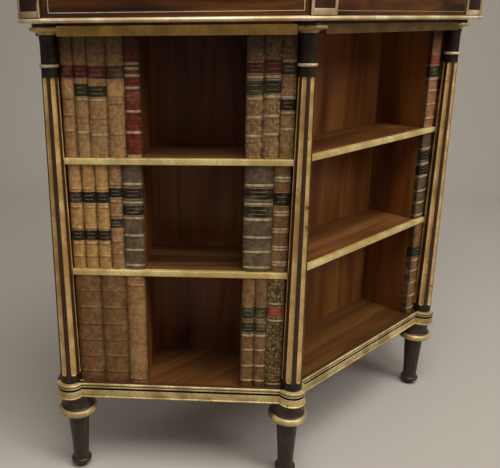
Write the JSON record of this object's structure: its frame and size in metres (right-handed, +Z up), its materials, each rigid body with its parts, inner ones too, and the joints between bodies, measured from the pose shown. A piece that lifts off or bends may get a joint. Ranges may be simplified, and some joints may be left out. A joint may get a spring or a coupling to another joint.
{
  "type": "side cabinet",
  "caption": "Open bookcase side cabinet with canted sides, fluted gilt and black columns, turned feet, false books and a frieze drawer.",
  "frame": {"origin": "on the floor under the middle of the cabinet's bounding box", "axes": "+X along the front to the viewer's right, +Y from the front to the wall behind, +Z up"},
  "size_m": [1.12, 0.368, 0.9333],
  "materials": {
    "ebonised": "satin black",
    "gilt": "worn water gilding over gesso",
    "mahogany": "satin polish",
    "rosewood": "satin polish, veneered",
    "carcass_wood": "unpolished",
    "book_leather": "worn leather on board"
  },
  "bodies": {
    "cabinet": {"base_board": "mahogany", "base_moulding_front": "gilt", "base_moulding_left": "gilt", "base_moulding_right": "gilt", "base_block_front_left": "gilt", "base_block_front_right": "gilt", "base_block_rear_left": "gilt", "base_block_rear_right": "gilt", "foot_front_left": "ebonised", "column_front_left": "ebonised", "capital_front_left": "gilt", "foot_front_right": "ebonised", "column_front_right": "ebonised", "capital_front_right": "gilt", "foot_rear_left": "ebonised", "column_rear_left": "ebonised", "capital_rear_left": "gilt", "foot_rear_right": "ebonised", "column_rear_right": "ebonised", "capital_rear_right": "gilt", "front_bay_upright_left": "mahogany", "false_books_front_left": "book_leather", "front_bay_upright_right": "mahogany", "false_books_front_right": "book_leather", "front_bay_back": "mahogany", "front_shelf_lower": "mahogany", "front_shelf_upper": "mahogany", "left_bay_upright_outer": "mahogany", "false_books_left_outer": "book_leather", "left_bay_upright_inner": "mahogany", "false_books_left_inner": "book_leather", "left_bay_back": "mahogany", "left_shelf_lower": "mahogany", "left_shelf_upper": "mahogany", "right_bay_upright_outer": "mahogany", "false_books_right_outer": "book_leather", "right_bay_upright_inner": "mahogany", "false_books_right_inner": "book_leather", "right_bay_back": "mahogany", "right_shelf_lower": "mahogany", "right_shelf_upper": "mahogany", "outer_back": "carcass_wood", "carcass_top": "gilt", "frieze_moulding_board": "gilt", "frieze_post_front_left": "rosewood", "frieze_post_front_right": "rosewood", "frieze_post_rear_left": "rosewood", "frieze_post_rear_right": "rosewood", "frieze_panel_left": "rosewood", "drawer_guide_left": "carcass_wood", "frieze_panel_right": "rosewood", "drawer_guide_right": "carcass_wood", "top_board": "rosewood"},
    "drawer": {"drawer_front": "rosewood", "drawer_side_left": "carcass_wood", "drawer_side_right": "carcass_wood", "drawer_back": "carcass_wood", "drawer_bottom": "carcass_wood", "drawer_knob_left": "gilt", "drawer_knob_right": "gilt"}
  },
  "joints": [
    {"name": "drawer_slide", "type": "slide", "parent": "cabinet", "child": "drawer", "axis": [0, -1, 0], "range_m": [0, 0.22]}
  ]
}
